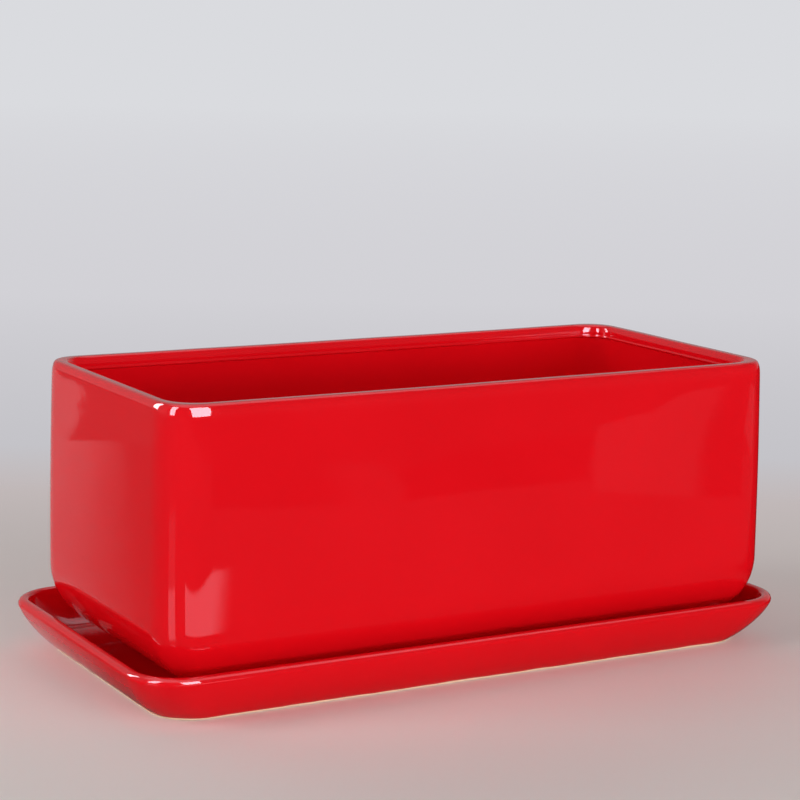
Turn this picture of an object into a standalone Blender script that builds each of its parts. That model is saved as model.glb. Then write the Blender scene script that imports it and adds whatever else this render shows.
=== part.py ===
"""A rectangular glazed ceramic plant pot standing on its matching saucer.

Both pieces are slip-cast clay, so each is one solid. Its section runs as a line of stations from the middle
of the underside, round the outside, over the rim and down the inside to the middle of the floor. Every
station is a rounded rectangle at some height, and the solid is lofted through them. Units are metres, +Z is
up, the origin is under the middle of the saucer, on the surface that it stands on.
"""

import math
from typing import NamedTuple

import bmesh
import bpy

MM = 0.001

# Pot, outside
POT_LENGTH = 300.0 * MM  # over the rim, along X
POT_WIDTH = 141.4 * MM  # over the rim, along Y
POT_HEIGHT = 124.7 * MM  # from the sole of its foot to the rim
POT_CORNER = 15.6 * MM  # plan radius of the upright corners, at the rim
POT_LOW_CORNER = 8.0 * MM  # least plan radius, where the bottom round has drawn the corners in
WALL_SWELL = 1.3 * MM  # how far the wall stands out beyond the rim just above the bottom round
BOTTOM_ROUND = 30.5 * MM  # radius of the large round between the wall and the underside

# Pot, rim and inside
POT_WALL = 6.0 * MM
POT_FLOOR = 7.0 * MM
BAND_STEP = 1.3 * MM  # how far the band under the rim stands proud of the wall below it
BAND_DEPTH = 6.5 * MM  # height of the band, from the rim down
BAND_EDGE = 0.8 * MM  # round on the band's lower edge
RIM_ROUND_WIDTH = 3.0 * MM  # the soft round on the rim's outer edge, across the rim
RIM_ROUND_HEIGHT = 6.0 * MM  # the same round, down the wall
RIM_INNER_ROUND = 1.2 * MM
POT_INNER_CORNER = 11.0 * MM  # plan radius of the band's corners
POT_FLOOR_CORNER = 8.0 * MM  # least plan radius inside, on the floor

# Pot, foot and drainage
FOOT_HEIGHT = 2.4 * MM
FOOT_WIDTH = 7.0 * MM
FOOT_INSET = 2.0 * MM  # from the end of the bottom round in to the foot
FOOT_EDGE = 0.6 * MM  # chamfer on both edges of the foot's sole
DRAIN_HOLE_DIAMETER = 12.0 * MM
DRAIN_HOLE_SPACING = 120.0 * MM  # between the two holes' centres
WEEP_NOTCH_WIDTH = 10.0 * MM  # the four gaps in the foot that let water out
WEEP_NOTCH_ROOF = 0.8 * MM  # clay left above each gap, under the pot

# Saucer
SAUCER_REACH_ENDS = 10.8 * MM  # the saucer's rim beyond the pot's rim, at each short end
SAUCER_REACH_SIDES = 12.1 * MM  # the same at each long side
SAUCER_FLARE_ENDS = 14.8 * MM  # the saucer's rim beyond its own base, at each short end
SAUCER_FLARE_SIDES = 14.4 * MM  # the same at each long side
SAUCER_HEIGHT = 22.6 * MM
SAUCER_CORNER = 23.0 * MM  # plan radius at the rim
SAUCER_BASE_CORNER = 18.5 * MM
SAUCER_LEAST_CORNER = 3.0 * MM  # where the recess or the floor lies well inside the flank
SAUCER_WALL = 5.4 * MM  # width of the rim
SAUCER_FLOOR = 6.2 * MM
SAUCER_RIM_CROWN = 3.2 * MM  # width of the soft outer round on the rim
SAUCER_RIM_DROP = 2.2 * MM  # height of the same round
SAUCER_RIM_INNER_ROUND = 0.9 * MM
SAUCER_FILLET = 5.0 * MM  # reach of the soft corner between the inner wall and the floor
FLANK_BULGE = 0.55  # 0 makes the flank straight, 1 makes it end upright
SOLE_EDGE = 0.6 * MM  # chamfer round the unglazed sole
SOLE_WIDTH = 9.0 * MM  # the flat band that the saucer stands on
SOLE_RECESS = 1.2 * MM  # how far the middle of the underside is raised

# How the pot stands on the saucer
REST_GAP = 0.3 * MM  # under the foot's sole
POT_SHIFT_X = 3.0 * MM  # the pot stands a little off the saucer's middle
POT_SHIFT_Y = -1.5 * MM

# Fineness of the solids
CORNER_STEPS = 8  # sides of each plan corner
BIG_ROUND_STEPS = 9
SMALL_ROUND_STEPS = 4
WALL_STEPS = 4
HOLE_SIDES = 32

# What follows from those sizes
RIM_WIDTH = POT_WALL + BAND_STEP
ROUND_TOP = FOOT_HEIGHT + BOTTOM_ROUND  # height at which the bottom round meets the wall
ROUND_END = WALL_SWELL - BOTTOM_ROUND  # offset at which it meets the underside
FOOT_OFFSET = ROUND_END - FOOT_INSET
FOOT_INNER_OFFSET = FOOT_OFFSET - FOOT_WIDTH
SAUCER_LENGTH = POT_LENGTH + 2 * SAUCER_REACH_ENDS
SAUCER_WIDTH = POT_WIDTH + 2 * SAUCER_REACH_SIDES
FLANK_TOP = SAUCER_HEIGHT - SAUCER_RIM_DROP
CUT_PAST = 1.0 * MM  # how far a cutter runs past the faces that it opens

GLAZE_RED = (0.60, 0.006, 0.012, 1.0)


class Station(NamedTuple):
    """A rounded rectangle at one height: half its length and width, its corner radius and its height."""

    half_length: float
    half_width: float
    corner: float
    height: float

    def outline(self):
        """The corner points, anticlockwise from the middle of the +X side."""
        reach_x = self.half_length - self.corner
        reach_y = self.half_width - self.corner
        points = []
        for quarter, (sign_x, sign_y) in enumerate(((1, 1), (-1, 1), (-1, -1), (1, -1))):
            for step in range(CORNER_STEPS + 1):
                turn = math.pi / 2 * (quarter + step / CORNER_STEPS)
                x = sign_x * reach_x + self.corner * math.cos(turn)
                y = sign_y * reach_y + self.corner * math.sin(turn)
                points.append((x, y, self.height))
        return points


def clear_scene():
    for obj in list(bpy.data.objects):
        bpy.data.objects.remove(obj)


def new_collection(name):
    collection = bpy.data.collections.new(name)
    bpy.context.scene.collection.children.link(collection)
    return collection


def glaze(name, roughness):
    """Red glaze: coloured and glossy, not metallic."""
    material = bpy.data.materials.new(name)
    material.use_nodes = True
    shader = material.node_tree.nodes["Principled BSDF"]
    shader.inputs["Base Color"].default_value = GLAZE_RED
    shader.inputs["Roughness"].default_value = roughness
    shader.inputs["Metallic"].default_value = 0.0
    return material


def arc(centre, radii, start, end, steps):
    """Points (offset, height) of an elliptical arc, its angles in degrees from outwards towards up."""
    points = []
    for step in range(steps + 1):
        turn = math.radians(start + (end - start) * step / steps)
        points.append((centre[0] + radii[0] * math.cos(turn), centre[1] + radii[1] * math.sin(turn)))
    return points


def blend(start, corner, end, steps):
    """Stations along a smooth bend that leaves start and meets end, both aimed at corner."""
    stations = []
    for step in range(1, steps):
        t = step / steps
        weights = ((1 - t) ** 2, 2 * t * (1 - t), t**2)
        sizes = zip(start, corner, end)
        stations.append(Station(*(sum(w * v for w, v in zip(weights, values)) for values in sizes)))
    return stations


def loft(name, stations, collection, material):
    """A closed solid through the stations: the first outline's face, extruded to each of the others."""
    bm = bmesh.new()
    face = bm.faces.new([bm.verts.new(point) for point in stations[0].outline()])
    for station in stations[1:]:
        extruded = bmesh.ops.extrude_face_region(bm, geom=[face, *face.edges])["geom"]
        face = next(item for item in extruded if isinstance(item, bmesh.types.BMFace))
        for vert, point in zip(face.verts, station.outline()):
            vert.co = point
    bmesh.ops.recalc_face_normals(bm, faces=bm.faces)
    mesh = bpy.data.meshes.new(name)
    bm.to_mesh(mesh)
    bm.free()
    mesh.materials.append(material)
    mesh.shade_smooth()
    mesh.set_sharp_from_angle(angle=math.radians(40))
    obj = bpy.data.objects.new(name, mesh)
    collection.objects.link(obj)
    return obj


def wall_offset(height):
    """How far the pot's outer wall stands out beyond the rim: most at the bottom round, nothing at the rim."""
    share = (height - ROUND_TOP) / (POT_HEIGHT - RIM_ROUND_HEIGHT - ROUND_TOP)
    return WALL_SWELL * (1 - share**2)


def wall_heights(low, high):
    """Heights of the stations between low and high, from the bottom up, without the two ends."""
    return [low + (high - low) * step / WALL_STEPS for step in range(1, WALL_STEPS)]


def pot_outside():
    """The outer section of the pot, from the foot up to the rim's outer edge."""
    foot = [
        (FOOT_INNER_OFFSET, FOOT_HEIGHT),
        (FOOT_INNER_OFFSET, FOOT_EDGE),
        (FOOT_INNER_OFFSET + FOOT_EDGE, 0.0),
        (FOOT_OFFSET - FOOT_EDGE, 0.0),
        (FOOT_OFFSET, FOOT_EDGE),
        (FOOT_OFFSET, FOOT_HEIGHT),
    ]
    bottom = arc((ROUND_END, ROUND_TOP), (BOTTOM_ROUND, BOTTOM_ROUND), -90, 0, BIG_ROUND_STEPS)
    rim_start = POT_HEIGHT - RIM_ROUND_HEIGHT
    wall = [(wall_offset(z), z) for z in wall_heights(ROUND_TOP, rim_start)]
    radii = (RIM_ROUND_WIDTH, RIM_ROUND_HEIGHT)
    rim = arc((-RIM_ROUND_WIDTH, rim_start), radii, 0, 90, SMALL_ROUND_STEPS)
    section = foot + bottom + wall + rim
    return [pot_station(offset, height, POT_CORNER + offset, POT_LOW_CORNER) for offset, height in section]


def pot_inside():
    """The inner section of the pot, from the rim's inner edge down to the floor."""
    centre = (RIM_INNER_ROUND - RIM_WIDTH, POT_HEIGHT - RIM_INNER_ROUND)
    rim = arc(centre, (RIM_INNER_ROUND, RIM_INNER_ROUND), 90, 180, SMALL_ROUND_STEPS)
    band_low = POT_HEIGHT - BAND_DEPTH
    centre = (BAND_EDGE - RIM_WIDTH, band_low + BAND_EDGE)
    band = arc(centre, (BAND_EDGE, BAND_EDGE), 180, 270, SMALL_ROUND_STEPS)
    heights = [band_low, *reversed(wall_heights(ROUND_TOP, band_low))]
    wall = [(wall_offset(z) - POT_WALL, z) for z in heights]
    radii = (BOTTOM_ROUND - POT_WALL, BOTTOM_ROUND - POT_FLOOR)
    bottom = arc((ROUND_END, ROUND_TOP), radii, 0, -90, BIG_ROUND_STEPS)
    section = rim + band + wall + bottom
    band_corner = POT_INNER_CORNER + RIM_WIDTH
    return [pot_station(offset, height, band_corner + offset, POT_FLOOR_CORNER) for offset, height in section]


def pot_station(offset, height, corner, least_corner):
    """The pot's outline at its rim, grown by the offset."""
    return Station(POT_LENGTH / 2 + offset, POT_WIDTH / 2 + offset, max(corner, least_corner), height)


def saucer_station(height, inset):
    """The outline of the saucer's flank at a height, drawn in by the inset."""
    rise = min((height - SOLE_EDGE) / (FLANK_TOP - SOLE_EDGE), 1.0)
    share = max(rise * (1 + FLANK_BULGE * (1 - rise)), 0.0)
    half_length = SAUCER_LENGTH / 2 - inset - (1 - share) * SAUCER_FLARE_ENDS
    half_width = SAUCER_WIDTH / 2 - inset - (1 - share) * SAUCER_FLARE_SIDES
    corner = SAUCER_BASE_CORNER + share * (SAUCER_CORNER - SAUCER_BASE_CORNER) - inset
    return Station(half_length, half_width, max(corner, SAUCER_LEAST_CORNER), height)


def saucer_outside():
    """The saucer's section from its underside up the flank to the rim's outer edge."""
    recess_edge = saucer_station(0.0, SOLE_WIDTH + SOLE_RECESS)
    sole = [
        recess_edge._replace(height=SOLE_RECESS),
        saucer_station(0.0, SOLE_WIDTH),
        saucer_station(0.0, SOLE_EDGE),
        saucer_station(SOLE_EDGE, 0.0),
    ]
    flank = [saucer_station(z, 0.0) for z in wall_heights(SOLE_EDGE, FLANK_TOP)]
    radii = (SAUCER_RIM_CROWN, SAUCER_RIM_DROP)
    rim = [
        saucer_station(height, -offset)
        for offset, height in arc((-SAUCER_RIM_CROWN, FLANK_TOP), radii, 0, 90, SMALL_ROUND_STEPS)
    ]
    return sole + flank + rim


def saucer_inside():
    """The saucer's section from the rim's inner edge down the inner wall to the floor."""
    radii = (SAUCER_RIM_INNER_ROUND, SAUCER_RIM_INNER_ROUND)
    centre = (SAUCER_RIM_INNER_ROUND - SAUCER_WALL, SAUCER_HEIGHT - SAUCER_RIM_INNER_ROUND)
    edge = [
        saucer_station(height, -offset)
        for offset, height in arc(centre, radii, 90, 180, SMALL_ROUND_STEPS)
    ]
    bend_start = saucer_station(SAUCER_FLOOR + SAUCER_FILLET, SAUCER_WALL)
    bend_corner = saucer_station(SAUCER_FLOOR, SAUCER_WALL)
    bend_end = saucer_station(SAUCER_FLOOR, SAUCER_WALL + SAUCER_FILLET)
    bend = blend(bend_start, bend_corner, bend_end, BIG_ROUND_STEPS)
    return edge + [bend_start] + bend + [bend_end]


def cutter_of(mesh, name, collection, parent):
    """A cutter that stays in the file as a wire and moves with the piece that it cuts."""
    cutter = bpy.data.objects.new(name, mesh)
    cutter.display_type = "WIRE"
    cutter.hide_render = True
    cutter.parent = parent
    collection.objects.link(cutter)
    return cutter


def cut(obj, cutter):
    modifier = obj.modifiers.new(cutter.name, "BOOLEAN")
    modifier.operation = "DIFFERENCE"
    modifier.object = cutter


def round_cutter_mesh(name, diameter, low, high, x):
    bm = bmesh.new()
    bmesh.ops.create_cone(
        bm,
        cap_ends=True,
        segments=HOLE_SIDES,
        radius1=diameter / 2,
        radius2=diameter / 2,
        depth=high - low,
    )
    bmesh.ops.translate(bm, verts=bm.verts, vec=(x, 0.0, (low + high) / 2))
    mesh = bpy.data.meshes.new(name)
    bm.to_mesh(mesh)
    bm.free()
    return mesh


def box_cutter_mesh(name, length, width, low, high):
    bm = bmesh.new()
    bmesh.ops.create_cube(bm, size=1.0)
    bmesh.ops.scale(bm, verts=bm.verts, vec=(length, width, high - low))
    bmesh.ops.translate(bm, verts=bm.verts, vec=(0.0, 0.0, (low + high) / 2))
    mesh = bpy.data.meshes.new(name)
    bm.to_mesh(mesh)
    bm.free()
    return mesh


def build_pot(parts, cutters):
    """The pot, with its origin under its foot's middle, on the line along which it lifts."""
    pot = loft("pot", pot_outside() + pot_inside(), parts, glaze("pot_red_glaze", 0.08))
    pot.location = (POT_SHIFT_X, POT_SHIFT_Y, SAUCER_FLOOR + REST_GAP)
    hole_top = FOOT_HEIGHT + POT_FLOOR + CUT_PAST
    for name, side in (("drain_hole_left", -1), ("drain_hole_right", 1)):
        x = side * DRAIN_HOLE_SPACING / 2
        mesh = round_cutter_mesh(name, DRAIN_HOLE_DIAMETER, 0.0, hole_top, x)
        cut(pot, cutter_of(mesh, name, cutters, pot))
    foot = pot_station(FOOT_OFFSET, 0.0, 0.0, POT_LOW_CORNER)
    notch_top = FOOT_HEIGHT - WEEP_NOTCH_ROOF
    along = box_cutter_mesh(
        "weep_notch_ends",
        2 * (foot.half_length + CUT_PAST),
        WEEP_NOTCH_WIDTH,
        -CUT_PAST,
        notch_top,
    )
    across = box_cutter_mesh(
        "weep_notch_sides",
        WEEP_NOTCH_WIDTH,
        2 * (foot.half_width + CUT_PAST),
        -CUT_PAST,
        notch_top,
    )
    for mesh in (along, across):
        cut(pot, cutter_of(mesh, mesh.name, cutters, pot))
    return pot


def build_saucer(parts):
    """The saucer, with its origin on the surface that it stands on."""
    return loft("saucer", saucer_outside() + saucer_inside(), parts, glaze("saucer_red_glaze", 0.1))


def main():
    clear_scene()
    parts = new_collection("bonsai_pot_with_saucer")
    cutters = new_collection("cutters")
    build_saucer(parts)
    build_pot(parts, cutters)


main()
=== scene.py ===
"""Looks of a rectangular plant pot that stands in its saucer, both slip-cast clay under a glossy red glaze.

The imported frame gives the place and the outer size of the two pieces. Each one is modelled again here with
fine, softly uneven walls, as a line of rounded rectangles through which one face is extruded: from the
middle of the underside, round the outside, over the rim and down to the middle of the floor. It wears two
finishes, the glaze and the bare clay on which it stands. Lengths are metres, with MM for millimetres, unless
a name ends in mm. +Z is up, and the front of the photograph is towards -Y.
"""

from __future__ import annotations

import logging
import math
from abc import ABC, abstractmethod
from dataclasses import dataclass, replace
from enum import Enum
from typing import Any, Iterable, Sequence

import bmesh
import bpy
from mathutils import Matrix, Vector, noise

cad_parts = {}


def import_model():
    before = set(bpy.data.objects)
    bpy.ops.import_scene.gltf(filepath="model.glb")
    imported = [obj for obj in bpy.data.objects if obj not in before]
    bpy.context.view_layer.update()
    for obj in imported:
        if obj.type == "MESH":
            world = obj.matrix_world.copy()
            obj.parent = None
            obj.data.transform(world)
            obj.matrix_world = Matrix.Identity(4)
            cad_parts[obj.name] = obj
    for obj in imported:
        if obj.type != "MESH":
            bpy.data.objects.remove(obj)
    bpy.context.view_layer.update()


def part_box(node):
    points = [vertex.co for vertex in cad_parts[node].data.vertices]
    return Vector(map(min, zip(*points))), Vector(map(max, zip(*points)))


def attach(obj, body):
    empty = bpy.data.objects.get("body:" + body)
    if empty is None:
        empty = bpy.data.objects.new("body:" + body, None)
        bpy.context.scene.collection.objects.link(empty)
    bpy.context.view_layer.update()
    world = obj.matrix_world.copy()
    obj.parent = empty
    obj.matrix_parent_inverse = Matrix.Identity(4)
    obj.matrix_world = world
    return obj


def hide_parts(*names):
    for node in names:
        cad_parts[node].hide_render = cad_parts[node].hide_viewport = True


LOG = logging.getLogger("glazed_pot")
MM = 0.001
FAR = 9000.0  # millimetres: a zone of the floor that reaches this far has no edge on that side
# A Mix node's colour sockets go by number, because its number and vector sockets have the same names.
COLOUR_A, COLOUR_B, MIXED = 6, 7, 2
# How many sides an outline has along each corner, long straight and short straight.
CORNER_SIDES, LONG_SIDES, SHORT_SIDES = 18, 60, 28

Colour = tuple[float, float, float, float]
Pair = tuple[float, float]
Section = list[Pair]
BMesh = bmesh.types.BMesh
Node = bpy.types.Node
Object = bpy.types.Object
Socket = bpy.types.NodeSocket
Tree = bpy.types.NodeTree


class Surface(Enum):
    """The finish of a band of faces. The value is its place among the piece's materials."""

    GLAZED = 0
    BARE = 1


def linear(hex_colour: str) -> Colour:
    """Turn an sRGB hex colour into the linear values that shaders take.

    Args:
        hex_colour: Six hex digits, with or without a leading hash.

    Returns:
        Red, green, blue and an alpha of 1.
    """
    digits = hex_colour.lstrip("#")
    channels = [int(digits[place : place + 2], 16) / 255 for place in (0, 2, 4)]
    # The numbers are those of the sRGB curve.
    red, green, blue = (c / 12.92 if c <= 0.04045 else ((c + 0.055) / 1.055) ** 2.4 for c in channels)
    return red, green, blue, 1.0


def grey(brightness: float) -> Colour:
    """Return the linear colour of a grey, where a brightness of 1 is white."""
    return brightness, brightness, brightness, 1.0


def feed(node: Node, inputs: dict[Any, Any]) -> None:
    """Set or link inputs of a node.

    Args:
        node: The node.
        inputs: For each input, by name or number, a value, or the output socket that feeds it.
    """
    for socket, value in inputs.items():
        if isinstance(value, Socket):
            node.id_data.links.new(value, node.inputs[socket])
        else:
            node.inputs[socket].default_value = value


def add_node(tree: Tree, kind: str, inputs: dict[Any, Any], **settings: Any) -> Node:
    """Add a node, set its options, and feed its inputs.

    Args:
        tree: The node tree that gets the node.
        kind: Blender's type name of the node, without ShaderNode in front.
        inputs: What feeds its inputs.
        **settings: The node's own options by their Python names.

    Returns:
        The new node.
    """
    node = tree.nodes.new(f"ShaderNode{kind}")
    for option, value in settings.items():
        setattr(node, option, value)
    feed(node, inputs)
    return node


def add_object(name: str, data: Any) -> Object:
    """Make an object and put it in the scene.

    Args:
        name: The object's name, and its mesh's.
        data: Its lamp or camera, or its shape as a finished bmesh, which is used up.

    Returns:
        The new object.
    """
    if isinstance(data, BMesh):
        mesh = bpy.data.meshes.new(name)
        data.to_mesh(mesh)
        data.free()
        data = mesh
    thing = bpy.data.objects.new(name, data)
    bpy.context.scene.collection.objects.link(thing)
    return thing


def arc(centre: Pair, radii: Pair, start: float, end: float, steps: int) -> Section:
    """Lay points along an elliptical arc of a wall's section.

    Args:
        centre: Offset and height of the arc's centre.
        radii: Radius across the wall and radius in height.
        start: First angle in degrees, from outwards towards up.
        end: Last angle in degrees.
        steps: Number of sides.

    Returns:
        Pairs of offset and height, both ends included.
    """
    points = []
    for step in range(steps + 1):
        turn = math.radians(start + (end - start) * step / steps)
        points.append((centre[0] + radii[0] * math.cos(turn), centre[1] + radii[1] * math.sin(turn)))
    return points


def between(low: float, high: float, steps: int) -> list[float]:
    """Return the evenly spaced values between low and high, without the two ends."""
    return [low + (high - low) * step / steps for step in range(1, steps)]


def soft_max(first: float, second: float, blend: float) -> float:
    """Return the larger of two lengths, with a smooth change from one to the other over the blend."""
    return (first + second + math.hypot(first - second, blend)) / 2


def smooth_step(value: float, low: float, high: float) -> float:
    """Return 0 below low, 1 above high and a smooth rise between them."""
    share = min(max((value - low) / (high - low), 0.0), 1.0)
    return share * share * (3 - 2 * share)


def bend_point(share: float, softness: float) -> Pair:
    """Return the point of a unit bend at a share of its turn.

    Args:
        share: 0 where the bend leaves the first side, 1 where it meets the second.
        softness: How much longer the bend is than the plain arc with the same middle.

    Returns:
        The two distances from the bend's middle, 1 and 0 at the start and 0 and 1 at the end.
    """
    power = math.log(2) / -math.log(1 - (1 - math.sqrt(0.5)) / softness)
    turn = math.pi / 2 * share
    first = max(math.cos(turn), 0.0) ** (1 / (power - 1))
    second = math.sin(turn) ** (1 / (power - 1))
    size = (first**power + second**power) ** (1 / power)
    return first / size, second / size


def direction(azimuth: float, elevation: float) -> Vector:
    """Return the unit vector towards a place round the object.

    Args:
        azimuth: Degrees from the front, positive to the right.
        elevation: Degrees above level.

    Returns:
        The unit vector.
    """
    turn, rise = math.radians(azimuth), math.radians(elevation)
    return Vector((math.sin(turn) * math.cos(rise), -math.cos(turn) * math.cos(rise), math.sin(rise)))


def looking_from(azimuth: float, elevation: float, distance: float, aim: Sequence[float]) -> Matrix:
    """Return the place of a camera or lamp that looks at a point.

    Args:
        azimuth: Degrees from the front, positive to the right.
        elevation: Degrees above level.
        distance: Distance from the point.
        aim: The point.

    Returns:
        The matrix that puts it there.
    """
    towards = direction(azimuth, elevation)
    turn = (-towards).to_track_quat("-Z", "Y").to_matrix().to_4x4()
    return Matrix.Translation(Vector(aim) + towards * distance) @ turn


# Finishes


class Finish(ABC):
    """A finish of the real object, which can make its Blender material."""

    name: str

    @abstractmethod
    def wire(self, tree: Tree, shader: Node) -> None:
        """Set the Principled shader and add the nodes that feed it."""

    def material(self) -> bpy.types.Material:
        """Make the material.

        Returns:
            A material whose Principled shader the finish has wired.
        """
        material = bpy.data.materials.new(self.name)
        material.use_nodes = True
        self.wire(material.node_tree, material.node_tree.nodes["Principled BSDF"])
        return material


@dataclass(frozen=True)
class RedGlaze(Finish):
    """Thick red earthenware glaze, dipped and fired to a wet gloss.

    The eye sees one deep, even red with mirror-sharp window lights. The red drifts a little where the glaze
    ran thicker, and the faint peel of a fired surface makes the edges of its reflections tremble.
    """

    name: str = "red_dipped_gloss_glaze"
    colour: str = "#DD0B17"
    pooled_colour: str = "#D20812"
    shine_colour: str = "#FFDDEC"  # reflections in a red this deep look pink
    ior: float = 1.56
    roughness: float = 0.02
    rough_spread: float = 0.03
    pool_mm: float = 60.0  # distance between thicker and thinner glaze
    peel_mm: float = 4.0  # width of the peel's dimples
    peel_depth_mm: float = 0.006
    run_mm: float = 17.0  # width of the slow runs in the glaze
    run_depth_mm: float = 0.03
    ripple: float = 0.4  # how strong each pattern's finer waves are

    def wire(self, tree: Tree, shader: Node) -> None:
        """Feed the shader with the drift of the red, of the gloss and of the surface.

        Args:
            tree: The material's nodes.
            shader: Its Principled shader.
        """
        place = add_node(tree, "TexCoord", {}).outputs["Object"]
        pools, runs, peel = (
            add_node(
                tree,
                "TexNoise",
                {"Vector": place, "Scale": 1 / (width_mm * MM), "Detail": detail, "Roughness": self.ripple},
            ).outputs["Fac"]
            for width_mm, detail in ((self.pool_mm, 2.0), (self.run_mm, 1.0), (self.peel_mm, 1.0))
        )
        drift = {"Factor": pools, COLOUR_A: linear(self.colour), COLOUR_B: linear(self.pooled_colour)}
        shade = add_node(tree, "Mix", drift, data_type="RGBA")
        span = {"Value": runs, "To Min": self.roughness, "To Max": self.roughness + self.rough_spread}
        gloss = add_node(tree, "MapRange", span)
        slow = add_node(tree, "Bump", {"Height": runs, "Distance": self.run_depth_mm * MM, "Strength": 1.0})
        fine = add_node(tree, "Bump", {"Height": peel, "Distance": self.peel_depth_mm * MM, "Strength": 1.0})
        feed(fine, {"Normal": slow.outputs["Normal"]})
        inputs = {
            "Base Color": shade.outputs[MIXED],
            "Roughness": gloss.outputs["Result"],
            "IOR": self.ior,
            "Specular Tint": linear(self.shine_colour),
            "Normal": fine.outputs["Normal"],
        }
        feed(shader, inputs)


@dataclass(frozen=True)
class BareClay(Finish):
    """Fired clay, wiped clean of glaze where the piece stands: dry, pale and slightly grainy."""

    name: str = "bare_fired_clay"
    colour: str = "#EBD2B8"
    grain_colour: str = "#D9B899"
    roughness: float = 0.85
    grain_mm: float = 0.9
    grain_depth_mm: float = 0.05

    def wire(self, tree: Tree, shader: Node) -> None:
        """Speckle the clay and raise its grain.

        Args:
            tree: The material's nodes.
            shader: Its Principled shader.
        """
        place = add_node(tree, "TexCoord", {}).outputs["Object"]
        clouds = {"Vector": place, "Scale": 1 / (self.grain_mm * MM), "Detail": 4.0}
        grain = add_node(tree, "TexNoise", clouds).outputs["Fac"]
        speckle = {"Factor": grain, COLOUR_A: linear(self.colour), COLOUR_B: linear(self.grain_colour)}
        shade = add_node(tree, "Mix", speckle, data_type="RGBA").outputs[MIXED]
        raised = {"Height": grain, "Distance": self.grain_depth_mm * MM, "Strength": 1.0}
        normal = add_node(tree, "Bump", raised).outputs["Normal"]
        feed(shader, {"Base Color": shade, "Roughness": self.roughness, "Normal": normal})


# Slip-cast pieces


@dataclass(frozen=True)
class Level:
    """A rounded rectangle at one height, and the finish of the faces that lead up to it."""

    half_length: float
    half_width: float
    corner: float
    height: float
    surface: Surface = Surface.GLAZED
    ragged: float = 0.0  # how far the line wanders up and down, as the edge of a glaze does
    softness: float = 1.0  # 1 is a plain arc, more makes the bend start earlier and more gently
    ragged_size: float = 9.0 * MM  # distance over which a ragged line wanders

    def outline(self) -> list[Vector]:
        """Lay the level's points, anticlockwise seen from above.

        Returns:
            The points in order, starting at the +Y end of the straight on the +X side.
        """
        size = self.corner * self.softness
        middle = Vector((self.half_length - size, self.half_width - size, 0))
        bends = []
        for sign_x, sign_y in ((1, 1), (-1, 1), (-1, -1), (1, -1)):
            bend = []
            for share in [0.0, *between(0.0, 1.0, CORNER_SIDES), 1.0]:
                across, along = bend_point(smooth_step(share, 0.0, 1.0), self.softness)
                if sign_x * sign_y < 0:
                    across, along = along, across
                x = sign_x * (middle.x + size * across)
                y = sign_y * (middle.y + size * along)
                bend.append(Vector((x, y, self.height)))
            bends.append(bend)
        points: list[Vector] = []
        for quarter, bend in enumerate(bends):
            end = bends[(quarter + 1) % 4][0]
            steps = LONG_SIDES if quarter % 2 == 0 else SHORT_SIDES
            points += bend + [bend[-1].lerp(end, share) for share in between(0.0, 1.0, steps)]
        if self.ragged:
            for point in points:
                point.z += self.ragged * noise.noise(point / self.ragged_size)
        return points


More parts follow.
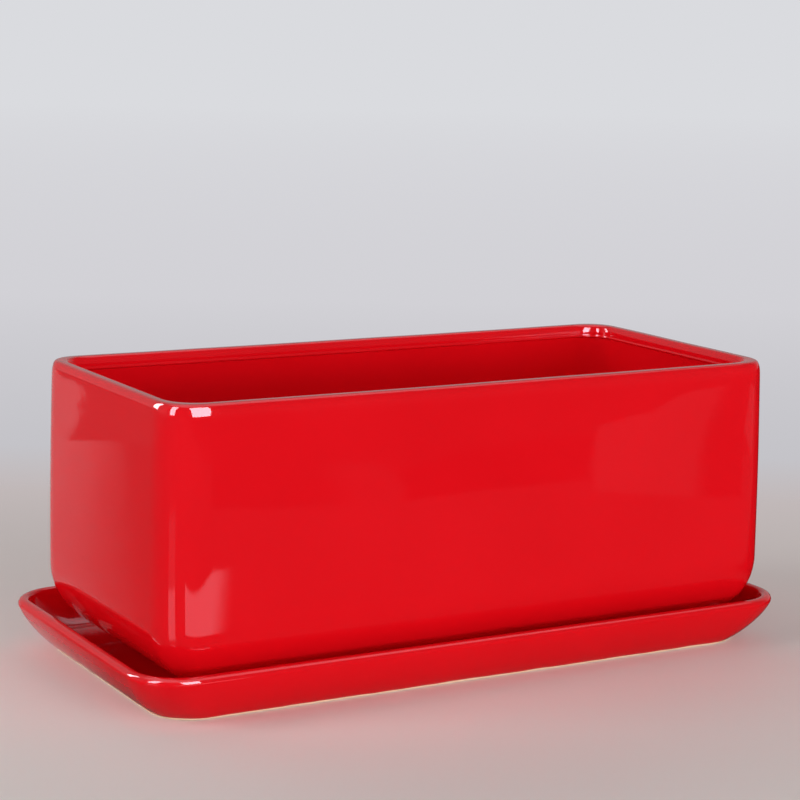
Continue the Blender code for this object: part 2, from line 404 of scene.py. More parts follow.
@dataclass
class CastPiece(ABC):
    """A hollow slip-cast piece, given by its section and dressed in glaze and bare clay."""

    name: str
    body: str
    node: str
    slot: str
    centre: Vector
    base: float
    glaze: Finish
    clay: Finish
    slow_wave: float = 0.16 * MM  # unevenness of the cast wall over a hand's width
    slow_wave_size: float = 80.0 * MM
    quick_wave: float = 0.07 * MM
    quick_wave_size: float = 27.0 * MM
    wave_shift: float = 50.0  # gives each piece waves of its own
    even_up_to: float = 3.0 * MM  # height at which the waves set in
    uneven_from: float = 12.0 * MM  # height from which on they are whole
    sharp_angle: float = 42.0  # degrees between two faces, from which on their edge stays sharp

    @abstractmethod
    def levels(self) -> list[Level]:
        """Return the section's levels from the middle of the underside to the middle of the floor."""

    def build(self) -> None:
        """Model the piece at its place, dress it and hand it to the frame."""
        bm = self.loft()
        self.make_uneven(bm)
        self.sink_rim(bm)
        bmesh.ops.translate(bm, verts=bm.verts, vec=(self.centre.x, self.centre.y, self.base))
        piece = add_object(self.name, bm)
        for finish in (self.glaze, self.clay):
            piece.data.materials.append(finish.material())
        self.cut_openings(piece)
        piece.data.shade_smooth()
        piece.data.set_sharp_from_angle(angle=math.radians(self.sharp_angle))
        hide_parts(self.node)
        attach(piece, self.body)
        LOG.info("%s: %d faces, riding on %s", self.name, len(piece.data.polygons), self.body)

    def loft(self) -> BMesh:
        """Extrude the first level's face through all the others.

        Returns:
            A closed solid that stands at the origin.
        """
        levels = self.levels()
        bm = bmesh.new()
        face = bm.faces.new([bm.verts.new(point) for point in levels[0].outline()])
        for level in levels[1:]:
            made = bmesh.ops.extrude_face_region(bm, geom=[face, *face.edges])["geom"]
            face = next(item for item in made if isinstance(item, bmesh.types.BMFace))
            for vert, point in zip(face.verts, level.outline()):
                vert.co = point
            for band in {near for edge in face.edges for near in edge.link_faces} - {face}:
                band.material_index = level.surface.value
            face.material_index = Surface.GLAZED.value
        bmesh.ops.recalc_face_normals(bm, faces=bm.faces)
        return bm

    def make_uneven(self, bm: BMesh) -> None:
        """Sink the walls by slow and quick waves, never outwards, and not where the piece stands.

        Args:
            bm: The solid.
        """
        bm.normal_update()
        moves = []
        for vert in bm.verts:
            slow = noise.noise(vert.co / self.slow_wave_size + self.centre * self.wave_shift) - 1
            quick = noise.noise(vert.co / self.quick_wave_size) - 1
            share = smooth_step(vert.co.z, self.even_up_to, self.uneven_from)
            moves.append((vert, vert.normal * (share * (slow * self.slow_wave + quick * self.quick_wave))))
        for vert, move in moves:
            vert.co += move

    def sink_rim(self, bm: BMesh) -> None:
        """Keep the rim as it is. A piece whose rim sinks midway along its sides as it dries lowers it here.
        """

    def cut_openings(self, piece: Object) -> None:
        """Cut what the loft can't make. A plain piece has nothing to cut."""


def cut(piece: Object, cutters: Iterable[BMesh]) -> None:
    """Take solid cutters out of a piece and keep the result as its mesh.

    Args:
        piece: The object to cut.
        cutters: Closed shapes at their places. They are used up.
    """
    helpers = []
    for number, bm in enumerate(cutters):
        helper = add_object(f"{piece.name}_cutter_{number}", bm)
        helpers.append(helper)
        modifier = piece.modifiers.new(helper.name, "BOOLEAN")
        modifier.operation = "DIFFERENCE"
        modifier.solver = "EXACT"
        modifier.object = helper
    view = bpy.context.evaluated_depsgraph_get()
    whole = piece.data
    piece.data = bpy.data.meshes.new_from_object(piece.evaluated_get(view))
    piece.modifiers.clear()
    bpy.data.meshes.remove(whole)
    for helper in helpers:
        mesh = helper.data
        bpy.data.objects.remove(helper)
        bpy.data.meshes.remove(mesh)


@dataclass
class Pot(CastPiece):
    """The pot: a deep trough with a large round at its foot and a thicker band inside its rim."""

    length: float = 300.0 * MM  # over the rim
    width: float = 141.4 * MM
    height: float = 124.7 * MM
    corner: float = 15.3 * MM
    low_corner: float = 8.0 * MM
    corner_blend: float = 3.0 * MM
    corner_softness: float = 1.2
    inner_softness: float = 1.1
    swell: float = 1.3 * MM
    bottom_round: float = 30.5 * MM
    wall: float = 6.0 * MM
    floor: float = 7.0 * MM
    band_step: float = 1.3 * MM
    band_depth: float = 6.5 * MM
    band_edge: float = 0.8 * MM
    rim_round_width: float = 2.5 * MM
    rim_round_height: float = 6.6 * MM
    rim_softness: float = 1.25
    rim_inner_width: float = 1.9 * MM
    rim_inner_height: float = 4.6 * MM
    bead: float = 0.28 * MM  # the band's lower edge swells a little
    bead_height: float = 0.8 * MM
    sag: float = 0.35 * MM  # how far the rim sinks midway along the long sides
    inner_corner: float = 12.0 * MM
    floor_corner: float = 8.0 * MM
    foot_height: float = 2.4 * MM
    foot_width: float = 7.0 * MM
    foot_inset: float = 2.0 * MM
    foot_round: float = 0.6 * MM
    hole_diameter: float = 12.0 * MM
    hole_spacing: float = 120.0 * MM
    hole_round: float = 0.8 * MM
    hole_sides: int = 48
    hole_slack: float = 0.05 * MM  # how far off a hole's wall an edge still counts as its rim
    level_slack: float = 0.4 * MM  # the same in height, because the floor is uneven
    notch_width: float = 10.0 * MM
    notch_roof: float = 0.8 * MM
    support: float = 3.0 * MM  # a ring of faces that keeps the flats flat

    @property
    def round_top(self) -> float:
        """Height at which the bottom round meets the wall."""
        return self.foot_height + self.bottom_round

    @property
    def round_end(self) -> float:
        """Offset at which the bottom round meets the underside."""
        return self.swell - self.bottom_round

    @property
    def foot_outside(self) -> float:
        """Offset of the foot's outer face."""
        return self.round_end - self.foot_inset

    @property
    def foot_inside(self) -> float:
        """Offset of the foot's inner face."""
        return self.foot_outside - self.foot_width

    @property
    def rim_width(self) -> float:
        """Width of the flat rim with its rounds."""
        return self.wall + self.band_step

    def wall_offset(self, height: float) -> float:
        """Return how far the outer wall stands out beyond the rim at a height."""
        share = (height - self.round_top) / (self.height - self.rim_round_height - self.round_top)
        return self.swell * (1 - share**2)

    def level(self, offset: float, height: float, surface: Surface, inside: bool = False) -> Level:
        """Grow the rim's outline by an offset.

        Args:
            offset: How far outside the rim's outline the level lies.
            height: Height above the pot's sole.
            surface: Finish of the faces that lead up to the level.
            inside: Whether it belongs to the inside, which has corners of its own.

        Returns:
            The level.
        """
        corner, least, softness = self.corner, self.low_corner, self.corner_softness
        if inside:
            corner, least = self.inner_corner + self.rim_width, self.floor_corner
            softness = self.inner_softness
        bend = soft_max(corner + offset, least, self.corner_blend)
        sides = (self.length / 2 + offset, self.width / 2 + offset)
        return Level(*sides, bend, height, surface, softness=softness)

    def levels(self) -> list[Level]:
        """Return the section's levels from the middle of the underside to the middle of the floor."""
        return [
            self.level(offset, height, surface, inside)
            for section, surface, inside in (
                (self.underside(), Surface.GLAZED, False),
                (self.foot(), Surface.BARE, False),
                (self.outer_wall(), Surface.GLAZED, False),
                (self.inner_wall(), Surface.GLAZED, True),
            )
            for offset, height in section
        ]

    def underside(self) -> Section:
        """Return the section of the glazed underside, from its middle to the foot's inner face."""
        inner, height, cove = self.foot_inside, self.foot_height, self.foot_round
        return [
            (inner - 2 * self.support, height),
            (inner - self.support, height),
            *arc((inner - cove, height - cove), (cove, cove), 90, 0, steps=3),
        ]

    def foot(self) -> Section:
        """Return the section of the unglazed foot ring, from its inner to its outer face."""
        edge = self.foot_round
        return [
            *arc((self.foot_inside + edge, edge), (edge, edge), 180, 270, steps=4),
            *arc((self.foot_outside - edge, edge), (edge, edge), 270, 360, steps=4),
        ]

    def outer_wall(self) -> Section:
        """Lay out the outside.

        Returns:
            The section from the foot up the outer wall to the rim's flat top.
        """
        cove = self.foot_round
        start = (self.foot_outside + cove, self.foot_height - cove)
        foot_cove = arc(start, (cove, cove), 180, 90, steps=3)
        radii = (self.bottom_round, self.bottom_round)
        bottom = arc((self.round_end, self.round_top), radii, -90, 0, steps=26)
        width, height = (
            self.rim_softness * size for size in (self.rim_round_width, self.rim_round_height)
        )
        heights = [*between(self.round_top, self.height - height, steps=20), self.height - height]
        turn = [bend_point(share, self.rim_softness) for share in [*between(0.0, 1.0, steps=18), 1.0]]
        rim = [(width * (across - 1), self.height + height * (up - 1)) for across, up in turn]
        return foot_cove + bottom + [(self.wall_offset(z), z) for z in heights] + rim

    def inner_wall(self) -> Section:
        """Lay out the inside.

        Returns:
            The section from the rim's inner edge over the band and its bead down to the floor.
        """
        radii = (self.rim_inner_width, self.rim_inner_height)
        start = (self.rim_inner_width - self.rim_width, self.height - self.rim_inner_height)
        edge = arc(start, radii, 90, 180, steps=10)
        band_low = self.height - self.band_depth
        radius = self.band_edge
        bead_middle = band_low + radius
        swelling = []
        for share in between(0.0, 1.0, steps=6):
            offset = -self.rim_width - self.bead * smooth_step(share, 0.0, 1.0)
            swelling.append((offset, bead_middle + (1 - share) * self.bead_height))
        lower = (radius - self.rim_width - self.bead, bead_middle)
        band = swelling + arc(lower, (radius, radius), 180, 270, steps=6)
        cove = self.band_step - self.band_edge
        top = self.wall_offset(band_low - cove) - self.wall
        band_cove = arc((top - cove, band_low - cove), (cove, cove), 90, 0, steps=4)
        heights = reversed(between(self.round_top, band_low - cove, steps=18))
        wall = [(self.wall_offset(z) - self.wall, z) for z in heights]
        radii = (self.bottom_round - self.wall, self.bottom_round - self.floor)
        bottom = arc((self.round_end, self.round_top), radii, 0, -90, steps=22)
        last_offset, last_height = bottom[-1]
        flat = [(last_offset - self.support, last_height), (last_offset - 2 * self.support, last_height)]
        return edge + band + band_cove + wall + bottom + flat

    def sink_rim(self, bm: BMesh) -> None:
        """Lower the rim midway along its long sides.

        Args:
            bm: The solid.
        """
        for vert in bm.verts:
            share = max(1 - (2 * vert.co.x / self.length) ** 2, 0.0)
            vert.co.z -= self.sag * share * smooth_step(vert.co.z, self.height / 2, self.height)

    def cut_openings(self, piece: Object) -> None:
        """Cut the two drain holes, with glazed round edges, and the four gaps in the foot."""
        cut(piece, self.cutters())
        self.round_holes(piece)

    def hole_places(self) -> list[Vector]:
        """Return the points on the two holes' axes at the height of the pot's sole."""
        start = Vector((self.centre.x, self.centre.y, self.base))
        return [start + Vector((side * self.hole_spacing / 2, 0, 0)) for side in (-1, 1)]

    def cutters(self) -> list[BMesh]:
        """Make the solids that cut the drain holes and the gaps in the foot.

        Returns:
            A cylinder for each hole, and for the gaps a long box along the pot and one across it.
        """
        reach = self.foot_height + self.floor + self.support
        radius = self.hole_diameter / 2
        cutters = []
        for place in self.hole_places():
            bm = bmesh.new()
            bmesh.ops.create_cone(
                bm, cap_ends=True, segments=self.hole_sides, radius1=radius, radius2=radius, depth=reach
            )
            bmesh.ops.translate(bm, verts=bm.verts, vec=place + Vector((0, 0, reach / 2)))
            cutters.append(bm)
        top = self.foot_height - self.notch_roof
        for size_x, size_y in ((self.length, self.notch_width), (self.notch_width, self.width)):
            bm = bmesh.new()
            bmesh.ops.create_cube(bm, size=1.0)
            bmesh.ops.scale(bm, verts=bm.verts, vec=(size_x, size_y, 2 * top))
            bmesh.ops.translate(bm, verts=bm.verts, vec=(self.centre.x, self.centre.y, self.base))
            cutters.append(bm)
        return cutters

    def round_holes(self, piece: Object) -> None:
        """Round the edges of the drain holes at the floor and at the underside.

        Args:
            piece: The pot, once its holes are cut.
        """
        bm = bmesh.new()
        bm.from_mesh(piece.data)
        radius = self.hole_diameter / 2
        heights = (self.base + self.foot_height, self.base + self.foot_height + self.floor)
        rims = []
        for edge in bm.edges:
            for place in self.hole_places():
                ends = [vert.co for vert in edge.verts]
                on_wall = all(abs((end - place).xy.length - radius) < self.hole_slack for end in ends)
                level = any(all(abs(end.z - z) < self.level_slack for end in ends) for z in heights)
                if on_wall and level:
                    rims.append(edge)
        bmesh.ops.bevel(
            bm, geom=rims, offset=self.hole_round, segments=4, profile=0.5, affect="EDGES", material=-1
        )
        bm.to_mesh(piece.data)
        bm.free()


@dataclass
class Saucer(CastPiece):
    """The saucer: a shallow tray whose flank flares out to a softly crowned rim."""

    length: float = 321.6 * MM
    width: float = 165.6 * MM
    height: float = 22.6 * MM
    flare_ends: float = 14.8 * MM
    flare_sides: float = 14.4 * MM
    corner: float = 23.0 * MM
    base_corner: float = 18.5 * MM
    least_corner: float = 3.0 * MM
    wall: float = 5.4 * MM
    floor: float = 6.2 * MM
    crown_width: float = 3.0 * MM  # the rim's outer round
    crown_height: float = 2.7 * MM
    crown_start: float = -20.0  # degrees from level, where the flank turns into it
    inner_round: float = 1.9 * MM
    fillet: float = 5.0 * MM
    bulge: float = 0.55
    sole_edge: float = 0.6 * MM
    sole_start: float = -60.0  # degrees from level, where the sole turns into its edge
    sole_width: float = 9.0 * MM
    sole_recess: float = 1.2 * MM
    clay_line: float = 1.0 * MM  # height of the bare clay along the base
    clay_ragged: float = 0.3 * MM
    glaze_lip: float = 0.12 * MM  # how far the glaze stands out beyond the bare clay
    glaze_edge: float = 0.25 * MM  # height over which it does
    support: float = 3.0 * MM  # a ring of faces that keeps the flats flat

    @property
    def flank_top(self) -> float:
        """Height at which the flank turns into the rim's outer round."""
        return self.height - self.crown_height * (1 - math.sin(math.radians(self.crown_start)))

    @property
    def flank_inset(self) -> float:
        """How far inside the widest line the flank ends."""
        return self.crown_width * (1 - math.cos(math.radians(self.crown_start)))

    def level(
        self, height: float, inset: float, surface: Surface = Surface.GLAZED, ragged: float = 0.0
    ) -> Level:
        """Draw in the flank's outline at a height.

        Args:
            height: Height above the table.
            inset: How far inside the flank the level lies.
            surface: Finish of the faces that lead up to the level.
            ragged: How far the level wanders up and down.

        Returns:
            The level.
        """
        rise = min((height - self.sole_edge) / (self.flank_top - self.sole_edge), 1.0)
        share = max(rise * (1 + self.bulge * (1 - rise)), 0.0)
        inset += share * self.flank_inset
        half_length = self.length / 2 - inset - (1 - share) * self.flare_ends
        half_width = self.width / 2 - inset - (1 - share) * self.flare_sides
        corner = self.base_corner + share * (self.corner - self.base_corner) - inset
        return Level(half_length, half_width, max(corner, self.least_corner), height, surface, ragged)

    def levels(self) -> list[Level]:
        """Return the section's levels from the middle of the underside to the middle of the floor."""
        return [*self.sole(), *self.flank(), *self.rim(), *self.tray()]

    def sole(self) -> list[Level]:
        """Lay out the underside.

        Returns:
            The levels of the glazed recess, the flat bare sole, its edge and the bare line above it.
        """
        edge = self.sole_edge
        cove = self.sole_width + self.sole_recess
        recess = [
            replace(self.level(0.0, inset), height=self.sole_recess) for inset in (cove + self.support, cove)
        ]
        flat = [self.level(0.0, inset, Surface.BARE) for inset in (self.sole_width, edge)]
        turn = [
            replace(self.level(0.0, -offset, Surface.BARE), height=height)
            for offset, height in arc((-edge, edge), (edge, edge), self.sole_start, 0, steps=3)
        ]
        line = self.level(self.clay_line, self.glaze_lip, Surface.BARE, self.clay_ragged)
        return [*recess, *flat, *turn, line]

    def flank(self) -> list[Level]:
        """Return the levels of the flared flank, from the glaze's lower lip to below the crown."""
        lip = self.clay_line + self.glaze_edge
        return [
            self.level(lip, 0.0, ragged=self.clay_ragged),
            *(self.level(height, 0.0) for height in between(lip, self.flank_top, steps=14)),
        ]

    def rim(self) -> list[Level]:
        """Lay out the rim.

        Returns:
            The levels of its outer round, its top and its inner round.
        """
        middle = (-self.crown_width, self.height - self.crown_height)
        section = arc(middle, (self.crown_width, self.crown_height), self.crown_start, 90, steps=18)
        inner = self.inner_round
        section += arc((inner - self.wall, self.height - inner), (inner, inner), 90, 180, steps=10)
        return [
            Level(self.length / 2 + offset, self.width / 2 + offset, self.corner + offset, height)
            for offset, height in section
        ]

    def tray(self) -> list[Level]:
        """Lay out the inside.

        Returns:
            The levels of the inner wall, the fillet and the flat floor.
        """
        start_height = self.floor + self.fillet
        heights = reversed(between(start_height, self.flank_top, steps=5))
        wall = [self.level(height, self.wall) for height in heights]
        start = self.level(start_height, self.wall)
        corner = self.level(self.floor, self.wall)
        end = self.level(self.floor, self.wall + self.fillet)
        bend = [start]
        for share in [*between(0.0, 1.0, steps=12), 1.0]:
            weights = ((1 - share) ** 2, 2 * share * (1 - share), share**2)
            sizes = [
                sum(w * getattr(level, name) for w, level in zip(weights, (start, corner, end)))
                for name in ("half_length", "half_width", "corner", "height")
            ]
            bend.append(Level(*sizes))
        flat = [self.level(self.floor, self.wall + self.fillet + reach * self.support) for reach in (1, 2)]
        return wall + bend + flat


# Studio


@dataclass(frozen=True)
class PhotoCamera:
    """The camera of the photograph, which looks down a little from the front left."""

    azimuth: float = -29.585  # degrees round from the front, negative to the left
    elevation: float = 9.866
    roll: float = 1.060
    distance: float = 1056.1 * MM
    aim: tuple[float, float, float] = (2.0 * MM, 7.1 * MM, 111.0 * MM)
    focal_length_mm: float = 104.6
    sensor_mm: float = 36.0

    def place(self) -> None:
        """Create the camera and make it the scene's own."""
        data = bpy.data.cameras.new("photo_camera")
        data.lens = self.focal_length_mm
        data.sensor_width = self.sensor_mm
        camera = add_object("photo_camera", data)
        place = looking_from(self.azimuth, self.elevation, self.distance, self.aim)
        camera.matrix_world = place @ Matrix.Rotation(math.radians(self.roll), 4, "Z")
        bpy.context.scene.camera = camera


@dataclass(frozen=True)
class SoftBox:
    """A rectangular studio lamp, given by the angles that it fills as the pot's near corner sees it."""

    name: str
    azimuths: Pair
    elevations: Pair
    radiance: float
    distance: float = 4.0
    aim: tuple[float, float, float] = (-140 * MM, -70 * MM, 110 * MM)
    mirrored: bool = True  # whether the glaze shows it
    lights: bool = True  # whether it adds to the plain light on matt surfaces

    def place(self) -> None:
        """Create the lamp."""
        azimuth = sum(self.azimuths) / 2
        elevation = sum(self.elevations) / 2
        across, upright = (
            math.tan(math.radians((high - low) / 2)) for low, high in (self.azimuths, self.elevations)
        )
        width = 2 * self.distance * math.cos(math.radians(elevation)) * across
        height = 2 * self.distance * upright
        data = bpy.data.lights.new(self.name, "AREA")
        data.shape = "RECTANGLE"
        data.size = width
        data.size_y = height
        data.energy = self.radiance * math.pi * width * height
        lamp = add_object(self.name, data)
        lamp.matrix_world = looking_from(azimuth, elevation, self.distance, self.aim)
        lamp.visible_camera = False
        lamp.visible_glossy = self.mirrored
        lamp.visible_diffuse = self.lights


@dataclass(frozen=True)
class Zone:
    """A soft-edged strip of the floor, by the distance along a level direction."""

    heading: float  # azimuth of the direction, in degrees from the front
    low_mm: float
    high_mm: float
    edge_mm: float = 10.0


@dataclass(frozen=True)
class Patch:
    """A painted reflection: floor painted brighter or darker for the glaze alone, where all its zones meet.
    """

    brightness: float
    zones: tuple[Zone, ...]


@dataclass(frozen=True)
class Studio:
    """A pale matt floor with painted reflections and painted light for the glaze, soft room light and the
    lamps.
    """

    lamps: Sequence[SoftBox]
    floor_colour: str = "#EEE9E6"
    floor_roughness: float = 0.9
    floor_reach: float = 12.0
    floor_gap: float = 0.1 * MM  # between the saucer's sole and the floor
    backdrop_colour: str = "#DADBDF"
    fade_heading: float = 150.4  # straight away from the camera
    fade_start: float = -50 * MM  # from here on the seen floor turns into the backdrop
    fade_end: float = 330 * MM
    backdrop_stops: tuple[tuple[float, str], ...] = (  # distances along the same heading, in metres
        (0.12, "#B8AEAC"),
        (0.31, "#C1B8B8"),
        (0.45, "#C4C3C8"),
        (1.2, "#D2D1D6"),
        (5.0, "#DADBDF"),
    )
    painted_floor_reflection: float = 0.20  # painted reflection: the floor's brightness in the glaze, under all painted marks
    # Painted reflections: brighter and darker marks on the floor that only the glaze sees.
    painted_reflections: tuple[Patch, ...] = (
        Patch(0.125, (Zone(34, 650, FAR, 25),)),
        Patch(0.11, (Zone(15, 490, FAR), Zone(115.9, -170, -78, 25))),
        Patch(
            0.08,
            (
                Zone(2.8, 475, FAR, 6),
                Zone(-18.4, -FAR, 490, 6),
                Zone(115.9, -37, FAR, 6),
                Zone(124.8, -FAR, -10, 6),
            ),
        ),
        Patch(
            0.34,
            (
                Zone(34, 500, FAR, 6),
                Zone(-36.4, -FAR, 290, 6),
                Zone(124.8, -6, FAR, 6),
                Zone(128.4, -FAR, 31, 6),
            ),
        ),
        Patch(0.10, (Zone(34, 500, FAR), Zone(128.4, 38, 95, 8))),
        Patch(0.02, (Zone(90, 200, FAR, 40), Zone(180, -150, FAR, 60))),
        Patch(0.45, (Zone(90, 620, 1000, 40), Zone(0, 260, 580, 40))),
        Patch(0.18, (Zone(180, -20, FAR, 60), Zone(90, -FAR, 150, 60))),
        Patch(0.74, (Zone(180, -20, FAR, 60), Zone(113, -132, FAR, 56), Zone(90, -FAR, 150, 60))),
        Patch(0.22, (Zone(-157, 660, FAR, 5), Zone(113, -FAR, -113, 5))),
    )
    pools: tuple[Patch, ...] = (  # painted light: pool shapes that glow on the floor, seen only in the glaze
        Patch(
            1.5,
            (
                Zone(0, 150, FAR, 16),
                Zone(-9, -FAR, 318, 16),
                Zone(115, -FAR, -144, 12),
                Zone(58.6, -80, FAR, 6),
            ),
        ),
        Patch(0.25, (Zone(-77, 200, 600, 90), Zone(5.6, 48, FAR, 8), Zone(27.6, -FAR, -7, 8))),
        Patch(1.2, (Zone(-77, 215, 380, 20), Zone(5.6, 48, FAR, 8), Zone(27.6, -FAR, -7, 8))),
    )
    tremble: float = 7 * MM  # how far the edges of the painted reflection marks wander
    tremble_size: float = 70 * MM
    ambient_high: float = 0.10  # plain room light from overhead
    ambient_low: float = 0.34  # and from the sides and below
    room_front: float = 0.12  # brightness of the room as the glaze sees it, in front of the object
    room_back: float = 0.42
    room_turn: Pair = (-0.1, 0.35)  # how far back a direction points, from -1 to 1, where they meet
    ceiling: float = 1.6  # brightness overhead, as the glaze sees it
    ceiling_turn: Pair = (0.72, 0.86)  # how far up a direction points where it sets in

    def build(self) -> None:
        """Make the floor, the world and the lamps."""
        self.build_floor()
        self.build_world()
        for lamp in self.lamps:
            lamp.place()
            LOG.info("lamp %s placed", lamp.name)

    def build_floor(self) -> None:
        """Lay the floor just under the saucer's sole."""
        bm = bmesh.new()
        bmesh.ops.create_grid(bm, x_segments=1, y_segments=1, size=self.floor_reach)
        bmesh.ops.translate(bm, verts=bm.verts, vec=(0, 0, -self.floor_gap))
        floor = add_object("studio_floor", bm)
        floor.data.materials.append(self.floor_material())

    def floor_material(self) -> bpy.types.Material:
        """Make the pale matt floor, which fades into the backdrop and carries painted reflections for the
        glaze.

        Returns:
            The material.
        """
        material = bpy.data.materials.new("matt_pale_floor")
        material.use_nodes = True
        tree = material.node_tree
        place = add_node(tree, "TexCoord", {}).outputs["Object"]
        path = add_node(tree, "LightPath", {})
        in_glaze = path.outputs["Is Glossy Ray"]
        painted_reflection_colour = self.painted_reflection_colour(tree, self.wandering(tree, place), self.painted_reflections, self.painted_floor_reflection)
        # The glaze sees the floor with painted reflections. The camera and matt surfaces see its own colour.
        colours = {"Factor": in_glaze, COLOUR_A: linear(self.floor_colour), COLOUR_B: painted_reflection_colour}
        shader = tree.nodes["Principled BSDF"]
        inputs = {
            "Base Color": add_node(tree, "Mix", colours, data_type="RGBA").outputs[MIXED],
            "Roughness": self.floor_roughness,
            "Specular IOR Level": 0.0,
            # Painted light: the glowing pool shapes on the floor, for glossy rays alone.
            "Emission Color": self.painted_reflection_colour(tree, place, self.pools, 0.0),
            "Emission Strength": in_glaze,
        }
        feed(shader, inputs)
        away = direction(self.fade_heading, 0.0)
        along = add_node(tree, "VectorMath", {0: place, 1: away}, operation="DOT_PRODUCT")
        distance = along.outputs["Value"]
        span = {"Value": distance, "From Min": self.fade_start, "From Max": self.fade_end}
        fade = add_node(tree, "MapRange", span).outputs["Result"]
        seen = add_node(tree, "Math", {0: fade, 1: path.outputs["Is Camera Ray"]}, operation="MULTIPLY")
        glow = add_node(tree, "Emission", {"Color": self.backdrop(tree, distance)})
        both = {0: seen.outputs[0], 1: shader.outputs[0], 2: glow.outputs[0]}
        feed(tree.nodes["Material Output"], {"Surface": add_node(tree, "MixShader", both).outputs[0]})
        return material

    def backdrop(self, tree: Tree, distance: Socket) -> Socket:
        """Turn a distance into the backdrop's colour, which grows paler with it.

        Args:
            tree: The floor's nodes.
            distance: The distance along the fade's heading.

        Returns:
            The colour.
        """
        reach = self.backdrop_stops[-1][0]
        share = add_node(tree, "Math", {0: distance, 1: reach}, operation="DIVIDE").outputs[0]
        ramp = add_node(tree, "ValToRGB", {"Fac": share})
        stops = ramp.color_ramp.elements
        while len(stops) < len(self.backdrop_stops):
            stops.new(1.0)
        for stop, (place, colour) in zip(stops, self.backdrop_stops):
            stop.position = place / reach
            stop.color = linear(colour)
        return ramp.outputs["Color"]

    def wandering(self, tree: Tree, place: Socket) -> Socket:
        """Add a slow noise to the place, which makes the edges of the painted marks irregular.

        Args:
            tree: The floor's nodes.
            place: The Object coordinates.

        Returns:
            The moved coordinates.
        """
        size = {"Vector": place, "Scale": 1 / self.tremble_size, "Detail": 1.0}
        clouds = add_node(tree, "TexNoise", size).outputs["Color"]
        centred = add_node(tree, "VectorMath", {0: clouds, 1: (0.5, 0.5, 0.5)}, operation="SUBTRACT")
        moved = {0: centred.outputs[0], 1: (2 * self.tremble, 2 * self.tremble, 0.0), 2: place}
        return add_node(tree, "VectorMath", moved, operation="MULTIPLY_ADD").outputs[0]

    def painted_reflection_colour(self, tree: Tree, place: Socket, painted_reflections: Sequence[Patch], base: float) -> Socket:
        """Lay painted reflection marks over an even brightness.

        Args:
            tree: The floor's nodes.
            place: The Object coordinates.
            painted_reflections: The painted marks, of which a later one covers the earlier ones.
            base: The even brightness below them.

        Returns:
            The colour that the glaze sees.
        """
        shade: Any = grey(base)
        for patch in painted_reflections:
            cover, *others = (self.zone_share(tree, place, zone) for zone in patch.zones)
            for share in others:
                meeting = add_node(tree, "Math", {0: cover, 1: share}, operation="MULTIPLY")
                cover = meeting.outputs[0]
            colours = {"Factor": cover, COLOUR_A: shade, COLOUR_B: grey(patch.brightness)}
            shade = add_node(tree, "Mix", colours, data_type="RGBA").outputs[MIXED]
        return shade

    def zone_share(self, tree: Tree, place: Socket, zone: Zone) -> Socket:
        """Tell whether a place lies in a zone.

        Args:
            tree: The floor's nodes.
            place: The Object coordinates.
            zone: The zone.

        Returns:
            1 inside and 0 outside, with soft edges.
        """
        heading = direction(zone.heading, 0.0)
        along = add_node(tree, "VectorMath", {0: place, 1: heading}, operation="DOT_PRODUCT")
        edges = []
        for edge_mm, side in ((zone.low_mm, 1), (zone.high_mm, -1)):
            outside, inside = (edge_mm * MM + way * side * zone.edge_mm * MM / 2 for way in (-1, 1))
            span = {"Value": along.outputs["Value"], "From Min": outside, "From Max": inside}
            edges.append(add_node(tree, "MapRange", span, interpolation_type="SMOOTHSTEP").outputs["Result"])
        return add_node(tree, "Math", dict(enumerate(edges)), operation="MULTIPLY").outputs[0]

    def build_world(self) -> None:
        """Make the world: the backdrop for the camera, a room for the glaze, plain light for the rest."""
        world = bpy.data.worlds.new("studio_room")
        bpy.context.scene.world = world
        world.use_nodes = True
        tree = world.node_tree
        path = add_node(tree, "LightPath", {})
        towards = add_node(tree, "TexCoord", {}).outputs["Generated"]
        parts = add_node(tree, "SeparateXYZ", {0: towards})
        behind, above, ambient = (
            add_node(
                tree,
                "MapRange",
                {
                    "Value": parts.outputs[axis],
                    "From Min": turn[0],
                    "From Max": turn[1],
                    "To Min": low,
                    "To Max": high,
                },
                interpolation_type=rise,
            ).outputs["Result"]
            for axis, turn, low, high, rise in (
                ("Y", self.room_turn, self.room_front, self.room_back, "SMOOTHSTEP"),
                ("Z", self.ceiling_turn, 0.0, self.ceiling, "SMOOTHSTEP"),
                ("Z", (0.0, 1.0), self.ambient_low, self.ambient_high, "LINEAR"),
            )
        )
        room = add_node(tree, "Math", {0: behind, 1: above}, operation="MAXIMUM").outputs[0]
        in_glaze, in_view = path.outputs["Is Glossy Ray"], path.outputs["Is Camera Ray"]
        mirrored = add_node(tree, "Mix", {"Factor": in_glaze, "A": ambient, "B": room}).outputs["Result"]
        colours = {"Factor": in_view, COLOUR_A: mirrored, COLOUR_B: linear(self.backdrop_colour)}
        shown = add_node(tree, "Mix", colours, data_type="RGBA")
        feed(tree.nodes["Background"], {"Color": shown.outputs[MIXED]})


def softboxes() -> list[SoftBox]:
    """Return four lamps that only light and three near windows that only show in the glaze."""
    return [
        SoftBox("front_light", (-25.0, 50.0), (3.0, 26.0), radiance=3.05, mirrored=False),
        SoftBox("back_fill", (120.0, 215.0), (5.0, 45.0), radiance=0.9, mirrored=False),
        SoftBox("low_fill", (-80.0, 75.0), (0.5, 9.0), radiance=4.1, mirrored=False),
        SoftBox("left_light", (-118.0, -78.0), (6.0, 37.0), radiance=4.6, mirrored=False),
        SoftBox("front_window", (-15.0, 26.5), (2.0, 48.0), radiance=17.0, distance=0.5, lights=False),
        SoftBox("left_window", (-90.0, -68.0), (4.0, 50.0), radiance=15.0, distance=0.5, lights=False),
        SoftBox("back_window", (-153.0, -137.0), (5.0, 38.0), radiance=13.0, distance=0.55, lights=False),
    ]


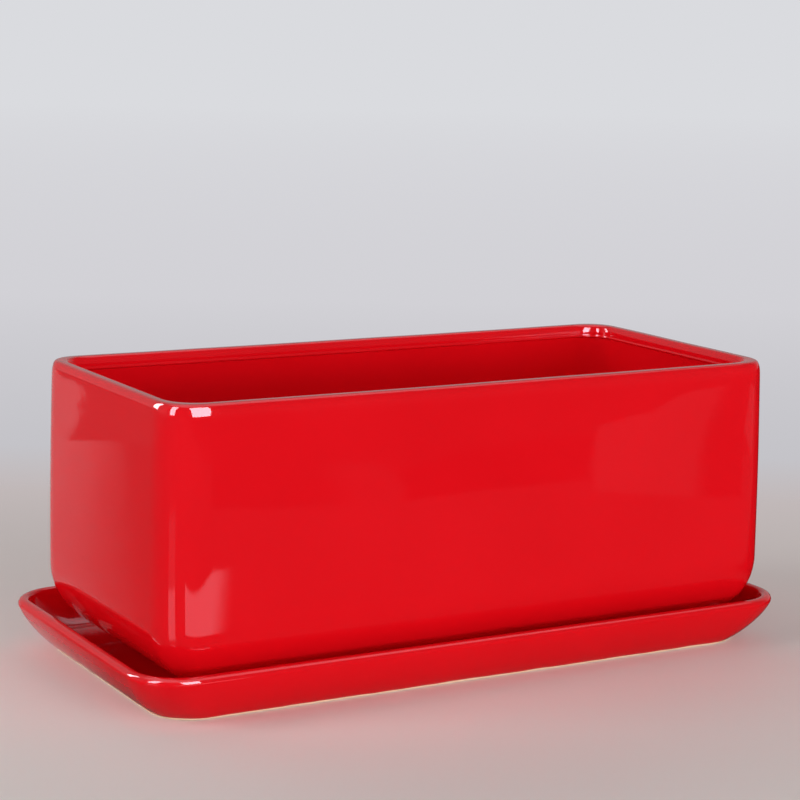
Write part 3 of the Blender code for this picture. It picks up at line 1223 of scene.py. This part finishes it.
def main() -> None:
    """Load the frame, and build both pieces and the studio."""
    logging.basicConfig(level=logging.INFO, format="%(name)s: %(message)s")
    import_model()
    clay = BareClay()
    pot_low, pot_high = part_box("pot")
    pot = Pot(
        name="glazed_pot",
        body="pot",
        node="pot",
        slot="pot_red_glaze",
        centre=(pot_low + pot_high) / 2,
        base=pot_low.z,
        height=pot_high.z - pot_low.z,
        glaze=RedGlaze(name="pot_red_dipped_gloss_glaze"),
        clay=clay,
    )
    saucer_low, saucer_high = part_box("saucer")
    saucer = Saucer(
        name="glazed_saucer",
        body="saucer",
        node="saucer",
        slot="saucer_red_glaze",
        centre=(saucer_low + saucer_high) / 2,
        base=saucer_low.z,
        length=saucer_high.x - saucer_low.x,
        width=saucer_high.y - saucer_low.y,
        height=saucer_high.z - saucer_low.z,
        glaze=RedGlaze(name="saucer_red_dipped_gloss_glaze"),
        clay=clay,
    )
    for piece in (saucer, pot):
        piece.build()
    Studio(lamps=softboxes()).build()
    PhotoCamera().place()
    bpy.context.scene.view_settings.view_transform = "Standard"


if __name__ == "__main__":
    main()
